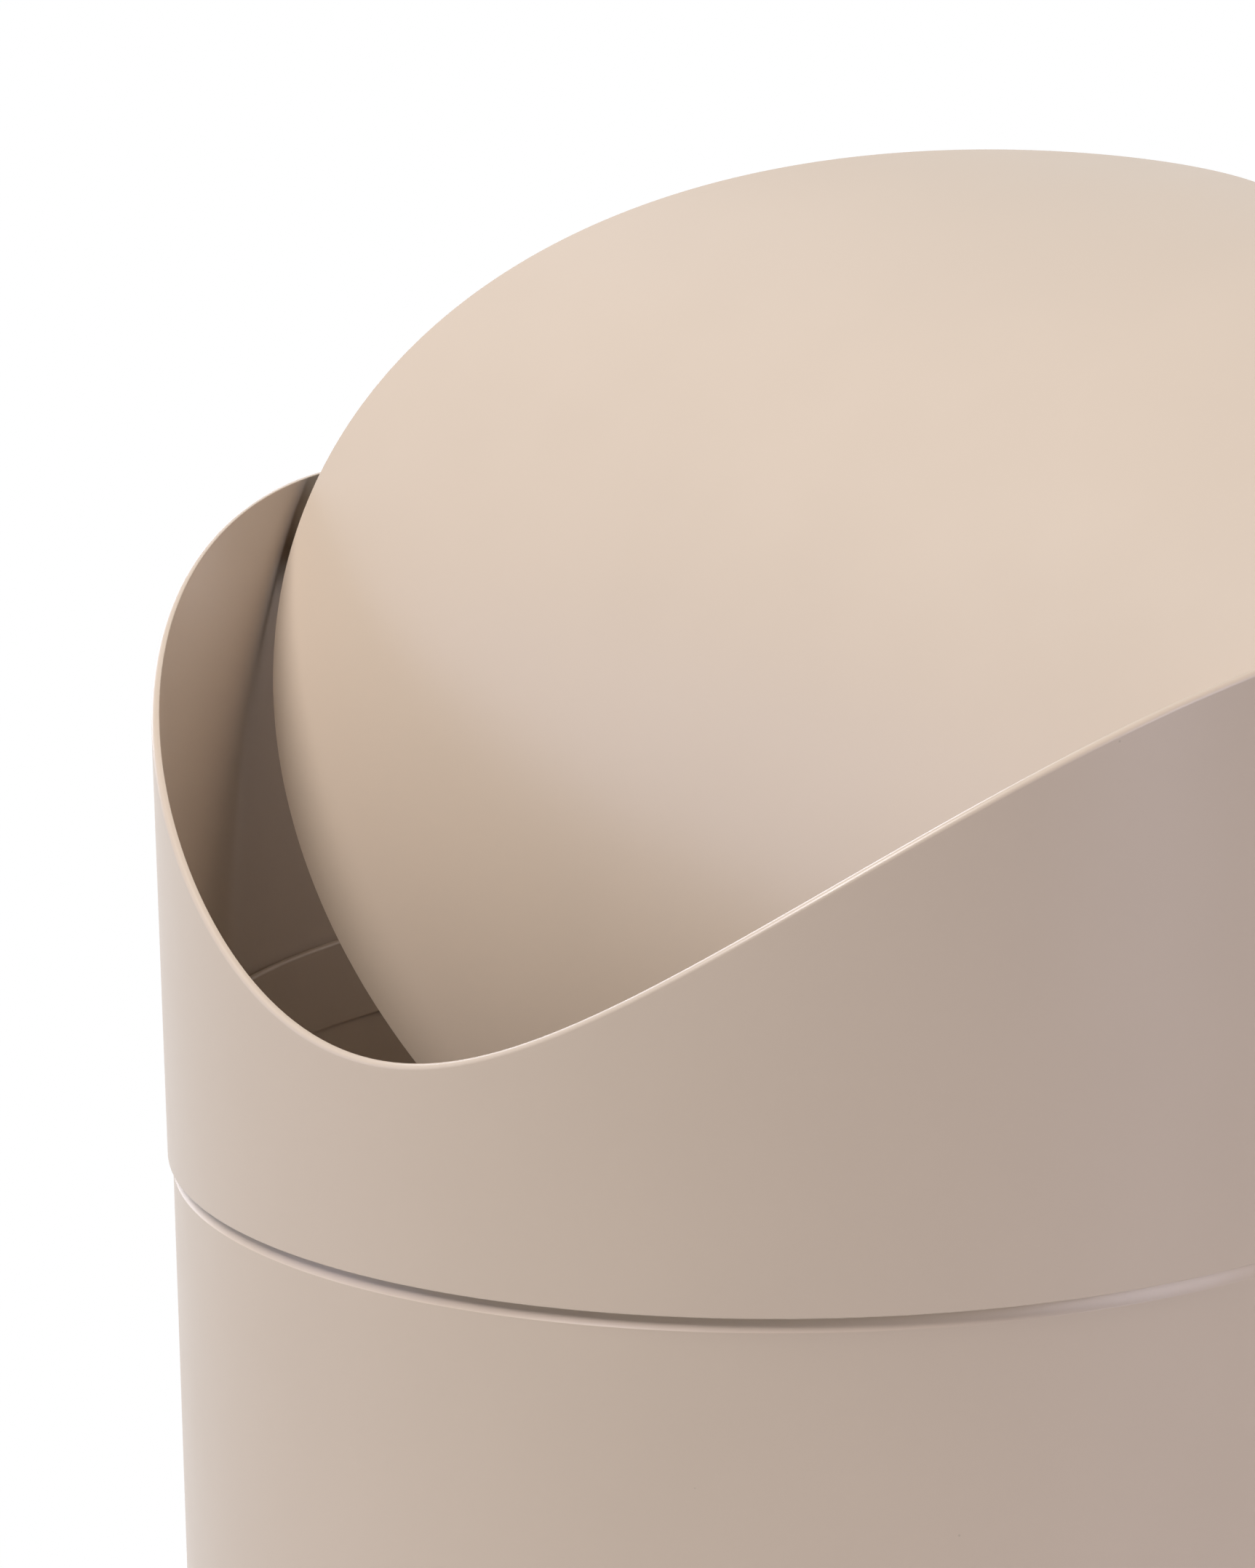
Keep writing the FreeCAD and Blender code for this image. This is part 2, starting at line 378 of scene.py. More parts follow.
def select_edges(piece, test):
    """Select the edges whose two ends pass the test, in edit mode."""
    bpy.ops.object.mode_set(mode="EDIT")
    bpy.ops.mesh.select_mode(type="EDGE")
    bpy.ops.mesh.select_all(action="DESELECT")
    bpy.ops.object.mode_set(mode="OBJECT")
    vertices = piece.data.vertices
    for edge in piece.data.edges:
        first, second = edge.vertices
        edge.select = test(vertices[first].co, vertices[second].co)
    bpy.ops.object.mode_set(mode="EDIT")


def group_vertices(piece, name, test):
    chosen = [vertex.index for vertex in piece.data.vertices if test(vertex.co)]
    piece.vertex_groups.new(name=name).add(chosen, 1, "REPLACE")


def vault_helper(plan, stretch=1):
    """Level cylinder whose top is the surface of the closed lid, stretched along Y."""
    deselect()
    bpy.ops.mesh.primitive_cylinder_add(
        vertices=helper_facets,
        radius=plan.vault_radius,
        depth=plan.crown_radius * helper_reach,
        location=(0, 0, plan.vault_z),
        rotation=(0, math.pi / 2, 0),
    )
    bpy.ops.transform.resize(value=(1, stretch, 1), center_override=(0, 0, plan.vault_z))
    return named("vault_helper")


def cone_helper(plan, inset):
    """Upright cone along the collar's wall, inset from its outside."""
    deselect()
    low = plan.seam_z
    high = plan.crown_z + spare
    bpy.ops.mesh.primitive_cone_add(
        vertices=helper_facets,
        radius1=plan.collar_outside(low) - inset,
        radius2=plan.collar_outside(high) - inset,
        depth=high - low,
        location=(0, 0, (low + high) / 2),
        end_fill_type="NOTHING",
    )
    return named("cone_helper")


def lower_onto_vault(piece, helper, group=""):
    """Move a piece, or a group of its vertices, straight up or down onto the vault."""
    apply_modifier(
        piece,
        "SHRINKWRAP",
        target=helper,
        vertex_group=group,
        wrap_method="PROJECT",
        use_project_z=True,
        use_positive_direction=True,
        use_negative_direction=True,
    )


def remove(helper):
    bpy.data.objects.remove(helper)


def select_only(piece):
    deselect()
    piece.select_set(True)
    bpy.context.view_layer.objects.active = piece


def tilt_with_lid(piece, plan, tilt):
    """Turn a piece of the closed lid to where the lid rests."""
    select_only(piece)
    bpy.ops.transform.rotate(
        value=-tilt, orient_axis="X", orient_type="GLOBAL", center_override=plan.pivot
    )
    bpy.ops.object.transform_apply(location=True, rotation=True, scale=True)


def copy_to_left(piece, name):
    """Copy a piece of the right side to the left, turned half round the upright axis."""
    select_only(piece)
    bpy.ops.object.duplicate()
    bpy.ops.transform.rotate(
        value=math.pi, orient_axis="Z", orient_type="GLOBAL", center_override=(0, 0, 0)
    )
    return named(name)


def dress(piece, material, body, node=None):
    """Even the shading, give the material, and tie the piece to the frame."""
    select_only(piece)
    bpy.ops.object.shade_smooth_by_angle(angle=smooth_angle)
    apply_modifier(piece, "WEIGHTED_NORMAL", keep_sharp=True)
    piece.data.materials.clear()
    piece.data.materials.append(material)
    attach(piece, body)
    if node:
        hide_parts(node)


# Materials


def add_node(tree, kind, **settings):
    node = tree.nodes.new(kind)
    for key, value in settings.items():
        setattr(node, key, value)
    return node


def new_group(name, inputs, outputs):
    """Empty shader node group with its sockets; gives the tree, its input and its output node."""
    tree = bpy.data.node_groups.new(name, "ShaderNodeTree")
    for label, kind in inputs:
        tree.interface.new_socket(name=label, in_out="INPUT", socket_type=kind)
    for label, kind in outputs:
        tree.interface.new_socket(name=label, in_out="OUTPUT", socket_type=kind)
    return tree, add_node(tree, "NodeGroupInput"), add_node(tree, "NodeGroupOutput")


def object_noise(tree, scale, detail=2.0):
    """Noise in the piece's own coordinates."""
    place = add_node(tree, "ShaderNodeTexCoord")
    noise = add_node(tree, "ShaderNodeTexNoise")
    noise.inputs["Scale"].default_value = scale
    noise.inputs["Detail"].default_value = detail
    tree.links.new(place.outputs["Object"], noise.inputs["Vector"])
    return noise


def mapped(tree, source, low, high, to_low, to_high):
    """Values from low to high spread smoothly over another range."""
    node = add_node(tree, "ShaderNodeMapRange", interpolation_type="SMOOTHSTEP")
    node.inputs["From Min"].default_value = low
    node.inputs["From Max"].default_value = high
    node.inputs["To Min"].default_value = to_low
    node.inputs["To Max"].default_value = to_high
    tree.links.new(source, node.inputs["Value"])
    return node.outputs["Result"]


def combined(tree, operation, first, second):
    """Math of two values."""
    node = add_node(tree, "ShaderNodeMath", operation=operation)
    tree.links.new(first, node.inputs[0])
    tree.links.new(second, node.inputs[1])
    return node.outputs["Value"]


def mixed_shaders(tree, share, first, second):
    """The first shader where the share is 0, and the second where it is 1."""
    mix = add_node(tree, "ShaderNodeMixShader")
    tree.links.new(share, mix.inputs["Fac"])
    tree.links.new(first, mix.inputs[1])
    tree.links.new(second, mix.inputs[2])
    return mix.outputs["Shader"]


def tone_group():
    """Faint cloudy change of the plastic's colour, as pigment mixes unevenly."""
    tree, entry, leave = new_group(
        "cloudy_tone",
        [("Colour", "NodeSocketColor"), ("Deep Colour", "NodeSocketColor")],
        [("Colour", "NodeSocketColor")],
    )
    clouds = object_noise(tree, cloud_scale)
    share = mapped(tree, clouds.outputs["Fac"], *noise_middle, 0.0, 1.0)
    mix = add_node(tree, "ShaderNodeMix", data_type="RGBA")
    tree.links.new(share, mix.inputs["Factor"])
    tree.links.new(entry.outputs["Colour"], mix.inputs["A"])
    tree.links.new(entry.outputs["Deep Colour"], mix.inputs["B"])
    tree.links.new(mix.outputs["Result"], leave.inputs["Colour"])
    return tree


def grain_group():
    """Fine moulded grain as a bump."""
    tree, entry, leave = new_group(
        "moulded_grain",
        [("Depth", "NodeSocketFloat"), ("Scale", "NodeSocketFloat")],
        [("Normal", "NodeSocketVector")],
    )
    noise = object_noise(tree, scale=1.0, detail=1.0)
    bump = add_node(tree, "ShaderNodeBump")
    tree.links.new(entry.outputs["Scale"], noise.inputs["Scale"])
    tree.links.new(entry.outputs["Depth"], bump.inputs["Distance"])
    tree.links.new(noise.outputs["Fac"], bump.inputs["Height"])
    tree.links.new(bump.outputs["Normal"], leave.inputs["Normal"])
    return tree


def speck_group():
    """Sparse tiny specks in the pigment, as a mask."""
    tree, _, leave = new_group("pigment_specks", [], [("Mask", "NodeSocketFloat")])
    place = add_node(tree, "ShaderNodeTexCoord")
    cells = add_node(tree, "ShaderNodeTexVoronoi")
    cells.inputs["Scale"].default_value = speck_scale
    tree.links.new(place.outputs["Object"], cells.inputs["Vector"])
    dot = mapped(tree, cells.outputs["Distance"], *speck_reach, 1.0, 0.0)
    split = add_node(tree, "ShaderNodeSeparateColor")
    tree.links.new(cells.outputs["Color"], split.inputs["Color"])
    few = mapped(tree, split.outputs["Red"], *speck_choice, 0.0, 1.0)
    tree.links.new(combined(tree, "MULTIPLY", dot, few), leave.inputs["Mask"])
    return tree


def add_group(tree, name, make):
    """Node of the group of that name, which is made once."""
    group = bpy.data.node_groups.get(name) or make()
    return add_node(tree, "ShaderNodeGroup", node_tree=group)


def moulded_material(name, base, roughness, grain_depth, grain_scale, deep_share, speck_share):
    """Moulded plastic or rubber: cloudy tone, specks, uneven gloss and a fine grain."""
    material = bpy.data.materials.get(name)
    if material:
        return material
    material = bpy.data.materials.new(name)
    material.use_nodes = True
    tree = material.node_tree
    shader = tree.nodes["Principled BSDF"]
    tone = add_group(tree, "cloudy_tone", tone_group)
    tone.inputs["Colour"].default_value = (*base, 1)
    tone.inputs["Deep Colour"].default_value = (*(value * deep_share for value in base), 1)
    specks = add_group(tree, "pigment_specks", speck_group)
    mix = add_node(tree, "ShaderNodeMix", data_type="RGBA")
    mix.inputs["B"].default_value = (*(value * speck_share for value in base), 1)
    tree.links.new(specks.outputs["Mask"], mix.inputs["Factor"])
    tree.links.new(tone.outputs["Colour"], mix.inputs["A"])
    tree.links.new(mix.outputs["Result"], shader.inputs["Base Color"])
    gloss = object_noise(tree, gloss_scale)
    smooth = roughness * (1 - gloss_spread)
    dull = roughness * (1 + gloss_spread)
    uneven = mapped(tree, gloss.outputs["Fac"], *noise_middle, smooth, dull)
    tree.links.new(uneven, shader.inputs["Roughness"])
    grain = add_group(tree, "moulded_grain", grain_group)
    grain.inputs["Depth"].default_value = grain_depth
    grain.inputs["Scale"].default_value = grain_scale
    tree.links.new(grain.outputs["Normal"], shader.inputs["Normal"])
    return material


def shell_material(finish):
    return moulded_material(
        "shell_plastic", finish.shell, roughness=finish.roughness, grain_depth=finish.grain_depth,
        grain_scale=2400.0, deep_share=0.975, speck_share=0.8,
    )


def pin_material(finish):
    return moulded_material(
        "pin_plastic", finish.pin, roughness=0.4, grain_depth=finish.grain_depth,
        grain_scale=3000.0, deep_share=0.95, speck_share=0.8,
    )


def bush_material(finish):
    return moulded_material(
        "bush_plastic", finish.bush, roughness=0.35, grain_depth=finish.grain_depth,
        grain_scale=3000.0, deep_share=0.95, speck_share=0.9,
    )


def washer_material(finish):
    return moulded_material(
        "washer_rubber", finish.washer, roughness=0.7, grain_depth=finish.washer_grain,
        grain_scale=3600.0, deep_share=0.8, speck_share=1.4,
    )


def foot_material(finish):
    return moulded_material(
        "foot_rubber", finish.foot, roughness=0.75, grain_depth=finish.foot_grain,
        grain_scale=3000.0, deep_share=0.8, speck_share=1.5,
    )


# Operators, one for each piece or group of like pieces


class BinOperator:
    """What the operators share: the panel's values."""

    bl_options = {"REGISTER", "UNDO"}

    def execute(self, context):
        scene = context.scene
        self.shells = scene.bin_shells
        self.fittings = scene.bin_fittings
        self.finish = scene.bin_finish
        self.studio = scene.bin_studio
        self.plan = BinPlan(self.shells)
        self.make()
        return {"FINISHED"}


class BIN_OT_body(BinOperator, bpy.types.Operator):
    """Turn the body with its neck, rebate and floor, and cut the pads' pockets"""

    bl_idname = "swing_bin.body"
    bl_label = "Body"

    def make(self):
        plan = self.plan
        shells = self.shells
        neck_inside = plan.neck_radius - shells.neck_wall
        step_top_z = plan.seat_z - shells.inner_step_drop
        body = turn_upright("body_shell", [
            (0, plan.base_z + shells.gate_depth, 0),
            (shells.gate_radius, plan.base_z + shells.gate_depth, 0),
            (shells.gate_radius + shells.gate_depth, plan.base_z, 0),
            (plan.body_outside(plan.base_z), plan.base_z, shells.base_round),
            (plan.body_radius, plan.rebate_z, shells.shoulder_round),
            (plan.rebate_radius, plan.seam_z - shells.shoulder_drop, 0),
            (plan.rebate_radius, plan.seat_z, 0),
            (plan.neck_radius, plan.seat_z, 0),
            (plan.neck_radius, plan.neck_top_z, shells.neck_round),
            (neck_inside, plan.neck_top_z, shells.neck_round),
            (neck_inside, step_top_z, 0),
            (plan.body_radius - shells.body_wall, step_top_z - shells.inner_step, 0),
            (plan.body_outside(plan.floor_z) - shells.body_wall, plan.floor_z, shells.floor_round),
            (0, plan.floor_z, 0),
        ])
        for name in pad_names():
            self.cut_pocket(body, name)
        dress(body, shell_material(self.finish), "bin", "bin_body")

    def cut_pocket(self, body, name):
        low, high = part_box(name)
        middle = (low + high) / 2
        deselect()
        bpy.ops.mesh.primitive_cylinder_add(
            vertices=small_turn_steps,
            radius=(high.x - low.x) / 2 + self.fittings.pad_gap,
            depth=high.z - low.z,
            location=middle,
        )
        cutter = named("pocket_helper")
        select_only(body)
        apply_modifier(body, "BOOLEAN", operation="DIFFERENCE", solver="EXACT", object=cutter)
        remove(cutter)


class BIN_OT_collar(BinOperator, bpy.types.Operator):
    """Turn the collar, lower its rim onto the vault and round the rim"""

    bl_idname = "swing_bin.collar"
    bl_label = "Collar"

    def make(self):
        plan = self.plan
        shells = self.shells
        top_z = plan.crown_z + spare
        top_radius = plan.collar_outside(top_z)
        guide_wall = plan.collar_outside(plan.guide_top_z) - shells.collar_wall
        collar = turn_upright("collar_shell", [
            (plan.skirt_inside, plan.seam_z, shells.skirt_round),
            (plan.collar_outside(plan.seam_z), plan.seam_z, shells.skirt_round),
            (top_radius, top_z, 0),
            (top_radius - shells.collar_wall, top_z, 0),
            (guide_wall, plan.guide_top_z, 0),
            (plan.guide_radius, plan.guide_top_z - (guide_wall - plan.guide_radius), 0),
            (plan.guide_radius, plan.seat_z, 0),
            (plan.skirt_inside, plan.seat_z, 0),
        ], ring=True)
        self.shape_rim(collar, top_radius - shells.collar_wall / 2)
        self.add_rows(collar)
        self.round_rim(collar)
        dress(collar, shell_material(self.finish), "collar", "collar")

    def shape_rim(self, collar, middle_radius):
        """Lower both edges of the rim onto the vault, so that it is level across the wall."""
        plan = self.plan
        wall = self.shells.collar_wall
        low_radius = plan.collar_outside(plan.crown_z - self.shells.rim_dip)
        self.lower_edge(collar, "outer", 0, low_radius, lambda at: at.xy.length > middle_radius)
        self.lower_edge(collar, "inner", wall, low_radius, lambda at: at.xy.length < middle_radius)

    def lower_edge(self, collar, name, inset, low_radius, test):
        """Lower one edge of the rim, set it back onto the wall's cone, and level it again."""
        plan = self.plan
        group_vertices(collar, name, lambda at: at.z > plan.crown_z and test(at))
        helper = vault_helper(plan, (low_radius - inset) / plan.collar_outside(plan.seam_z))
        cone = cone_helper(plan, inset)
        select_only(collar)
        lower_onto_vault(collar, helper, name)
        apply_modifier(
            collar,
            "SHRINKWRAP",
            target=cone,
            vertex_group=name,
            wrap_method="NEAREST_SURFACEPOINT",
        )
        lower_onto_vault(collar, helper, name)
        remove(cone)
        remove(helper)
        collar.vertex_groups.clear()

    def add_rows(self, collar):
        """Cut the tall faces of the wall into rows."""
        band = self.plan.guide_top_z - self.plan.seat_z
        select_edges(collar, lambda first, second: abs(first.z - second.z) > band)
        bpy.ops.mesh.subdivide(number_cuts=wall_rows)
        bpy.ops.object.mode_set(mode="OBJECT")

    def round_rim(self, collar):
        shells = self.shells
        self.round_edge(collar, 0, shells.rim_round)
        self.round_edge(collar, shells.collar_wall, shells.rim_inner_round)

    def round_edge(self, collar, inset, rounding):
        """Round the edge of the rim that lies this far inside the collar's outside.

        A quarter of the wall's thickness is near enough to tell the rim's two edges apart.
        """
        plan = self.plan
        near = self.shells.collar_wall / 4

        def on_edge(at):
            off_wall = abs(plan.collar_outside(at.z) - inset - at.xy.length)
            return off_wall < near and abs(at.z - plan.rim_height(at)) < near

        select_edges(collar, lambda first, second: on_edge(first) and on_edge(second))
        bpy.ops.mesh.bevel(offset=rounding, segments=rim_segments, affect="EDGES")
        bpy.ops.object.mode_set(mode="OBJECT")


class BIN_OT_lid(BinOperator, bpy.types.Operator):
    """Lay a round sheet on the vault, thicken it, round its edge and tilt it"""

    bl_idname = "swing_bin.lid"
    bl_label = "Lid"

    def make(self):
        plan = self.plan
        shells = self.shells
        helper = vault_helper(plan)
        deselect()
        bpy.ops.mesh.primitive_circle_add(
            vertices=lid_rows * 4, radius=plan.lid_radius, location=(0, 0, plan.crown_z + spare)
        )
        lid = named("lid_shell")
        bpy.ops.object.mode_set(mode="EDIT")
        bpy.ops.mesh.select_all(action="SELECT")
        bpy.ops.mesh.fill_grid(span=lid_rows)
        bpy.ops.object.mode_set(mode="OBJECT")
        if lid.data.polygons[0].normal.z < 0:
            lid.data.flip_normals()
        lower_onto_vault(lid, helper)
        remove(helper)
        select_only(lid)
        apply_modifier(lid, "SOLIDIFY", thickness=shells.lid_wall, offset=-1, use_even_offset=True)
        apply_modifier(
            lid, "BEVEL", width=shells.lid_round, segments=rim_segments, angle_limit=smooth_angle
        )
        tilt_with_lid(lid, plan, shells.lid_tilt)
        dress(lid, shell_material(self.finish), "lid", "lid")


class BIN_OT_pivot_seats(BinOperator, bpy.types.Operator):
    """Make the ears under the lid and the bosses inside the collar"""

    bl_idname = "swing_bin.pivot_seats"
    bl_label = "Pivot Ears and Bosses"

    def make(self):
        material = shell_material(self.finish)
        ear = self.make_ear()
        boss = self.make_boss()
        for piece, name, body, slot in (
            (ear, "lid_ear", "lid", "lid_shell"), (boss, "collar_boss", "collar", "collar_shell"),
        ):
            other = copy_to_left(piece, name + "_left")
            for each in (piece, other):
                if body == "lid":
                    tilt_with_lid(each, self.plan, self.shells.lid_tilt)
                dress(each, material, body)

    def make_ear(self):
        """Plate under the lid: round below, wider where it meets the lid, with the pin's hole."""
        plan = self.plan
        fittings = self.fittings
        radius = fittings.pin_radius + fittings.press_gap + fittings.ear_wall
        side_y = radius + fittings.ear_spread
        face_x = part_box("drag_washer_right")[0].x
        back_x = face_x - fittings.ear_thickness
        sunk = self.shells.lid_wall / 2
        outline = []
        for step in range(half_turn_steps + 1):
            turn = math.pi * step / half_turn_steps
            outline.append((radius * math.cos(turn), plan.pivot.z - radius * math.sin(turn)))
        for step in range(half_turn_steps + 1):
            y = side_y * (2 * step / half_turn_steps - 1)
            outline.append((y, plan.vault_top(y) - sunk))
        points = [Vector((back_x, y, z)) for y, z in outline]
        ear = draw_line("lid_ear_right", points)
        bpy.ops.mesh.edge_face_add()
        bpy.ops.mesh.extrude_region_move(
            TRANSFORM_OT_translate={"value": right_way * fittings.ear_thickness}
        )
        close_mesh()
        deselect()
        bpy.ops.mesh.primitive_cylinder_add(
            vertices=small_turn_steps,
            radius=fittings.pin_radius + fittings.press_gap,
            depth=fittings.ear_thickness * helper_reach,
            location=(face_x, plan.pivot.y, plan.pivot.z),
            rotation=(0, math.pi / 2, 0),
        )
        drill = named("drill_helper")
        select_only(ear)
        apply_modifier(ear, "BOOLEAN", operation="DIFFERENCE", solver="EXACT", object=drill)
        remove(drill)
        apply_modifier(
            ear,
            "BEVEL",
            width=fittings.edge_round,
            segments=small_edge_segments,
            angle_limit=smooth_angle,
        )
        return ear

    def make_boss(self):
        """Tube inside the collar's wall around the bush."""
        plan = self.plan
        fittings = self.fittings
        bore = fittings.bush_radius + fittings.press_gap
        outside = bore + fittings.boss_wall
        face_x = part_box("pivot_bush_right")[0].x + fittings.flange
        wall_x = plan.collar_outside(plan.pivot.z) - self.shells.collar_wall / 2
        return turn_level("collar_boss_right", [
            (bore, face_x, fittings.edge_round),
            (outside, face_x, fittings.edge_round),
            (outside, wall_x, 0),
            (bore, wall_x, 0),
        ], plan.pivot, ring=True)


class BIN_OT_pivots(BinOperator, bpy.types.Operator):
    """Turn the pins, bushes and washers of both pivots"""

    bl_idname = "swing_bin.pivots"
    bl_label = "Pins, Bushes and Washers"

    def make(self):
        pairs = (
            (self.make_pin(), "pin", "pivot_pin", "lid", pin_material, "pin_plastic"),
            (self.make_bush(), "bush", "pivot_bush", "collar", bush_material, "bush_plastic"),
            (self.make_washer(), "washer", "drag_washer", "lid", washer_material, "washer_rubber"),
        )
        for piece, name, node, body, material, slot in pairs:
            other = copy_to_left(piece, name + "_left")
            for each, side in zip((piece, other), sides):
                dress(each, material(self.finish), body, f"{node}_{side}")

    def make_pin(self):
        fittings = self.fittings
        low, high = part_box("pivot_pin_right")
        head_radius = (high.z - low.z) / 2
        head_x = low.x + fittings.pin_head
        return turn_level("pin_right", [
            (0, low.x, 0),
            (head_radius, low.x, fittings.edge_round),
            (head_radius, head_x, fittings.edge_round),
            (fittings.pin_radius, head_x, 0),
            (fittings.pin_radius, high.x - fittings.pin_chamfer, 0),
            (fittings.pin_radius - fittings.pin_chamfer, high.x, 0),
            (0, high.x, 0),
        ], self.plan.pivot)

    def make_bush(self):
        fittings = self.fittings
        low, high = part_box("pivot_bush_right")
        flange_radius = (high.z - low.z) / 2
        flange_x = low.x + fittings.flange
        return turn_level("bush_right", [
            (fittings.bush_bore, low.x, 0),
            (flange_radius, low.x, fittings.edge_round),
            (flange_radius, flange_x, 0),
            (fittings.bush_radius, flange_x, 0),
            (fittings.bush_radius, high.x, fittings.edge_round),
            (fittings.bush_bore, high.x, 0),
        ], self.plan.pivot, ring=True)

    def make_washer(self):
        fittings = self.fittings
        low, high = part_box("drag_washer_right")
        radius = (high.z - low.z) / 2
        return turn_level("washer_right", [
            (fittings.bush_bore, low.x, 0),
            (radius, low.x, fittings.edge_round),
            (radius, high.x, fittings.edge_round),
            (fittings.bush_bore, high.x, 0),
        ], self.plan.pivot, ring=True)


def pad_names():
    return [name for name in frame["nodes"] if name.startswith("foot_pad_")]


class BIN_OT_feet(BinOperator, bpy.types.Operator):
    """Turn one foot pad with its grip grooves for each pocket"""

    bl_idname = "swing_bin.feet"
    bl_label = "Foot Pads"

    def make(self):
        for name in pad_names():
            self.make_pad(name)

    def make_pad(self, name):
        fittings = self.fittings
        low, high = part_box(name)
        middle = (low + high) / 2
        radius = (high.x - low.x) / 2
        slope = fittings.groove_depth
        groove_z = low.z + slope
        corners = [(0, low.z, 0)]
        for share in groove_places:
            groove = radius * share
            corners += [
                (groove, low.z, 0),
                (groove + slope, groove_z, 0),
                (groove + fittings.groove_width - slope, groove_z, 0),
                (groove + fittings.groove_width, low.z, 0),
            ]
        corners += [
            (radius, low.z, fittings.pad_round),
            (radius, high.z, 0),
            (0, high.z, 0),
        ]
        pad = turn_upright(name.replace("foot_pad", "pad"), corners, middle.xy, small_turn_steps)
        dress(pad, foot_material(self.finish), "bin", name)


class BIN_OT_stage(BinOperator, bpy.types.Operator):
    """Set the camera, softboxes, world and floor"""

    bl_idname = "swing_bin.stage"
    bl_label = "Stage"

    def make(self):
        studio = self.studio
        self.add_camera()
        aim = up * studio.aim_height
        for name, turn, height, size, power, tint in (
            ("key_light", -45, 45, small_softbox, studio.key_power, (0.95, 0.91, 1.0)),
            ("high_light", -60, 60, small_softbox, studio.high_power, (0.97, 1.0, 1.0)),
            ("right_light", 60, 10, large_softbox, studio.right_power, (0.87, 0.84, 1.0)),
            ("side_light", 90, 35, large_softbox, studio.side_power, (1.0, 0.85, 0.74)),
            ("back_light", -150, 15, large_softbox, studio.back_power, (0.75, 0.82, 1.0)),
            ("left_light", -90, 10, large_softbox, studio.left_power, (0.6, 0.67, 1.0)),
            ("under_light", 0, -90, small_softbox, studio.under_power, (1.0, 1.0, 1.0)),
        ):
            self.add_softbox(name, aim, turn, height, size, power, tint)
        self.set_world()
        self.add_floor()
        bpy.context.scene.view_settings.view_transform = "Standard"

    def from_camera(self, turn, height, distance):
        """Place around the bin, turned from the camera's side to its right, in degrees."""
        way = self.studio.azimuth + math.radians(turn)
        rise = math.radians(height)
        level = math.cos(rise)
        return Vector((math.sin(way) * level, -math.cos(way) * level, math.sin(rise))) * distance

    def add_camera(self):
        studio = self.studio
        back = self.from_camera(0, math.degrees(studio.elevation), 1)
        level = up.cross(back).normalized()
        upright = back.cross(level)
        lean = math.sin(studio.roll)
        hold = math.cos(studio.roll)
        across = level * hold + upright * lean
        rise = upright * hold - level * lean
        place = up * studio.aim_height + back * studio.distance
        place -= across * studio.aim_across + rise * studio.aim_up
        turn = Matrix((across, rise, back)).transposed().to_4x4()
        deselect()
        bpy.ops.object.camera_add()
        camera = bpy.context.object
        camera.name = "main_camera"
        camera.matrix_world = Matrix.Translation(place) @ turn
        camera.data.lens = studio.lens
        bpy.context.scene.camera = camera

    def add_softbox(self, name, aim, turn, height, size, power, tint):
        """Round softbox aimed at the bin, placed by degrees from the camera's side."""
        place = aim + self.from_camera(turn, height, softbox_distance)
        facing = (aim - place).to_track_quat("-Z", "Y").to_euler()
        deselect()
        bpy.ops.object.light_add(type="AREA", location=place, rotation=facing)
        light = bpy.context.object
        light.name = name
        light.data.shape = "DISK"
        light.data.size = size
        light.data.energy = power
        light.data.color = tint

    def seen_directly(self, tree):
        """1 for what the camera, gloss and glass see, 0 for light on the object."""
        path = add_node(tree, "ShaderNodeLightPath")
        seen = path.outputs["Is Camera Ray"]
        for way in ("Is Glossy Ray", "Is Transmission Ray"):
            seen = combined(tree, "MAXIMUM", seen, path.outputs[way])
        return seen

    def set_world(self):
        """White behind everything, and the panel's level of light from all round."""
        world = bpy.data.worlds.new("white_studio")
        world.use_nodes = True
        tree = world.node_tree
        light = tree.nodes["Background"]
        light.inputs["Strength"].default_value = self.studio.world_level
        light.inputs["Color"].default_value = plain_white
        white = add_node(tree, "ShaderNodeBackground")
        white.inputs["Color"].default_value = plain_white
        surface = mixed_shaders(
            tree,
            self.seen_directly(tree),
            light.outputs["Background"],
            white.outputs["Background"],
        )
        tree.links.new(surface, tree.nodes["World Output"].inputs["Surface"])
        bpy.context.scene.world = world

    def add_floor(self):
        deselect()
        bpy.ops.mesh.primitive_circle_add(
            vertices=turn_steps, radius=self.studio.floor_radius, fill_type="TRIFAN"
        )
        floor = named("floor")
        floor.data.materials.append(self.floor_material())

    def floor_material(self):
        """Pale floor that keeps the bin's shadow, fades to white and is clear from below."""
        material = bpy.data.materials.new("pale_floor")
        material.use_nodes = True
        tree = material.node_tree
        shader = tree.nodes["Principled BSDF"]
        shader.inputs["Base Color"].default_value = (*self.studio.floor, 1)
        shader.inputs["Roughness"].default_value = self.studio.floor_roughness
        white = add_node(tree, "ShaderNodeEmission")
        clear = add_node(tree, "ShaderNodeBsdfTransparent")
        pale = mixed_shaders(
            tree, self.white_share(tree), shader.outputs["BSDF"], white.outputs["Emission"]
        )
        surface = mixed_shaders(tree, self.clear_share(tree), pale, clear.outputs["BSDF"])
        tree.links.new(surface, tree.nodes["Material Output"].inputs["Surface"])
        return material

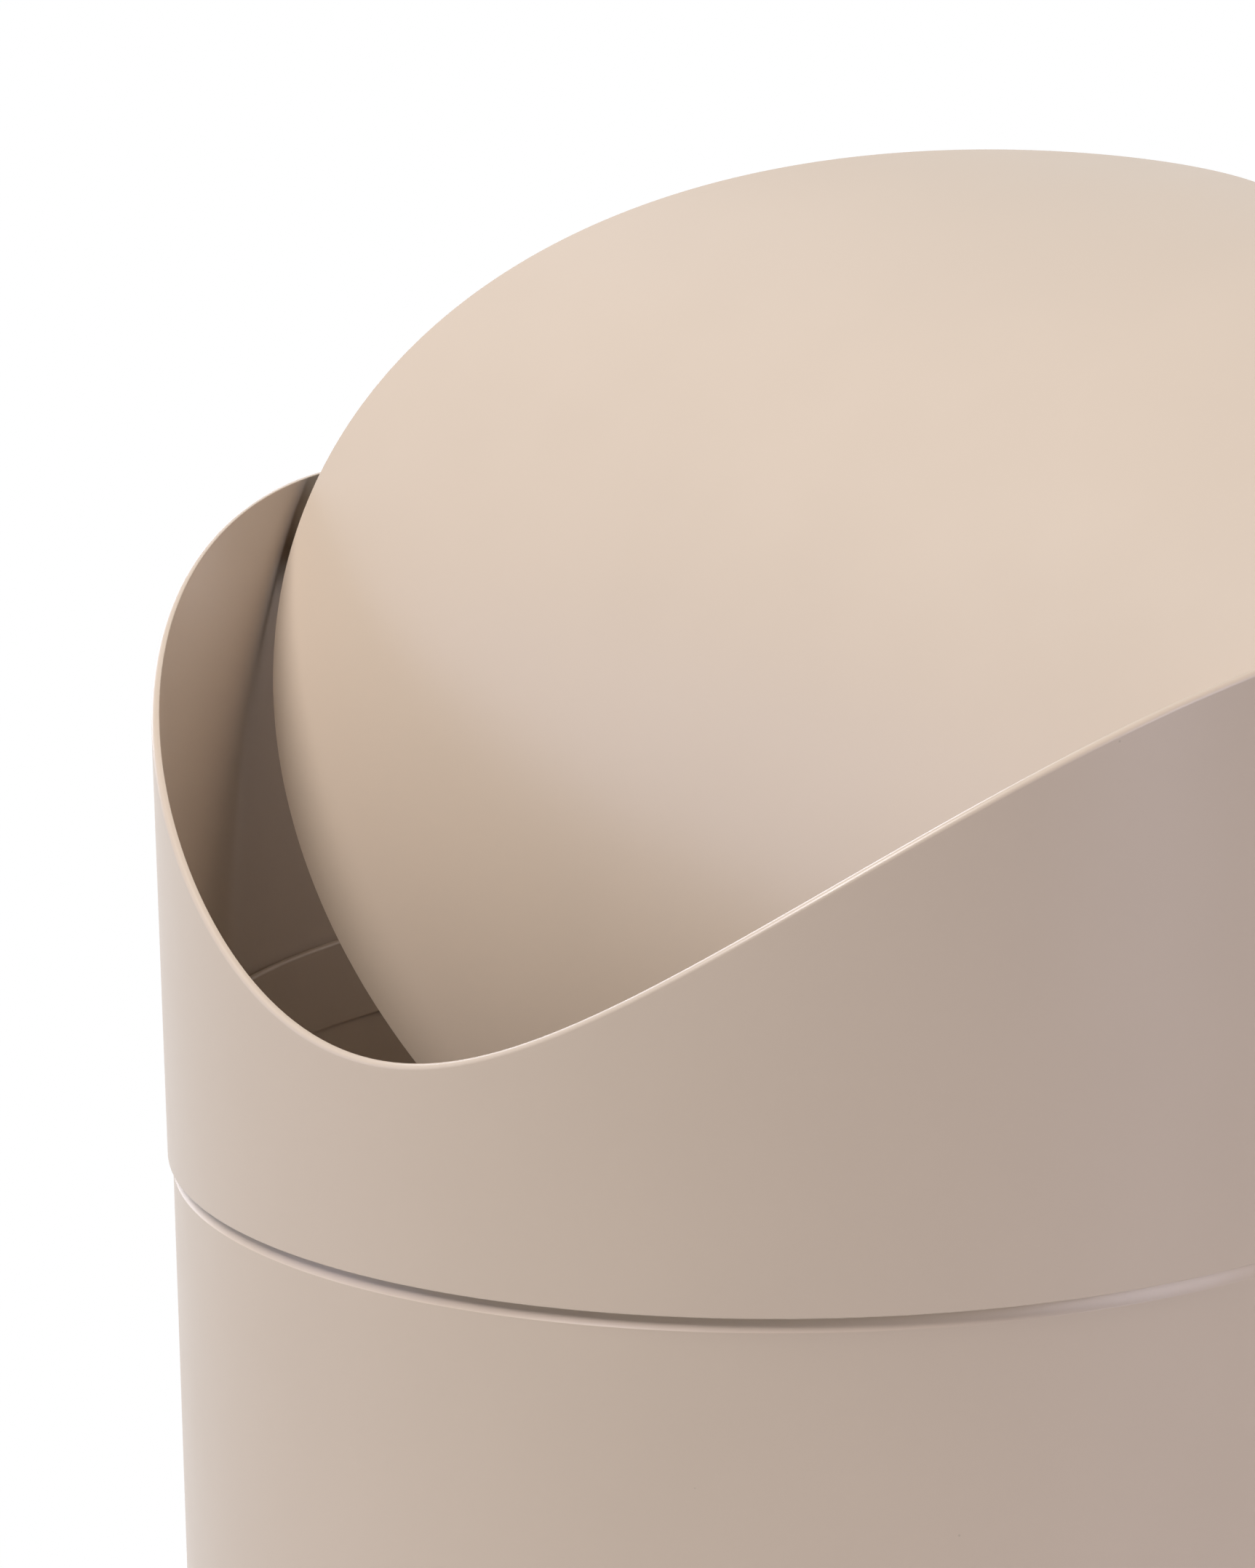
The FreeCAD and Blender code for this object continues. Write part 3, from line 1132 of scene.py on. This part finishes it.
    def white_share(self, tree):
        """How white the floor is seen: more towards its edge."""
        place = add_node(tree, "ShaderNodeTexCoord")
        reach = add_node(tree, "ShaderNodeVectorMath", operation="LENGTH")
        tree.links.new(place.outputs["Object"], reach.inputs[0])
        start, end = (self.studio.floor_radius * share for share in floor_fade)
        fade = mapped(tree, reach.outputs["Value"], start, end, 0.0, 1.0)
        return combined(tree, "MULTIPLY", fade, self.seen_directly(tree))

    def clear_share(self, tree):
        """1 from below and for light on its way through the floor, 0 from above."""
        side = add_node(tree, "ShaderNodeNewGeometry")
        path = add_node(tree, "ShaderNodeLightPath")
        return combined(
            tree, "MAXIMUM", side.outputs["Backfacing"], path.outputs["Is Shadow Ray"]
        )


groups = {
    "bin_shells": BinShells,
    "bin_fittings": BinFittings,
    "bin_finish": BinFinish,
    "bin_studio": BinStudio,
}
operators = (
    BIN_OT_body,
    BIN_OT_collar,
    BIN_OT_lid,
    BIN_OT_pivot_seats,
    BIN_OT_pivots,
    BIN_OT_feet,
    BIN_OT_stage,
)


class BIN_PT_sidebar(bpy.types.Panel):
    """Lists the bin's pieces and its stage"""

    bl_idname = "BIN_PT_sidebar"
    bl_label = "Round Swing-Lid Bin"
    bl_space_type = "VIEW_3D"
    bl_region_type = "UI"
    bl_category = "Bin"

    def draw(self, context):
        for operator in operators:
            self.layout.operator(operator.bl_idname)
        for group in groups:
            values = getattr(context.scene, group)
            for key in values.__annotations__:
                self.layout.prop(values, key)


def register():
    for name, group in groups.items():
        bpy.utils.register_class(group)
        setattr(bpy.types.Scene, name, bpy.props.PointerProperty(type=group))
    for operator in operators:
        bpy.utils.register_class(operator)
    bpy.utils.register_class(BIN_PT_sidebar)


def unregister():
    bpy.utils.unregister_class(BIN_PT_sidebar)
    for operator in reversed(operators):
        bpy.utils.unregister_class(operator)
    for name, group in groups.items():
        delattr(bpy.types.Scene, name)
        bpy.utils.unregister_class(group)


def main():
    register()
    bpy.ops.swing_bin.body()
    bpy.ops.swing_bin.collar()
    bpy.ops.swing_bin.lid()
    bpy.ops.swing_bin.pivot_seats()
    bpy.ops.swing_bin.pivots()
    bpy.ops.swing_bin.feet()
    bpy.ops.swing_bin.stage()


if __name__ == "__main__":
    main()
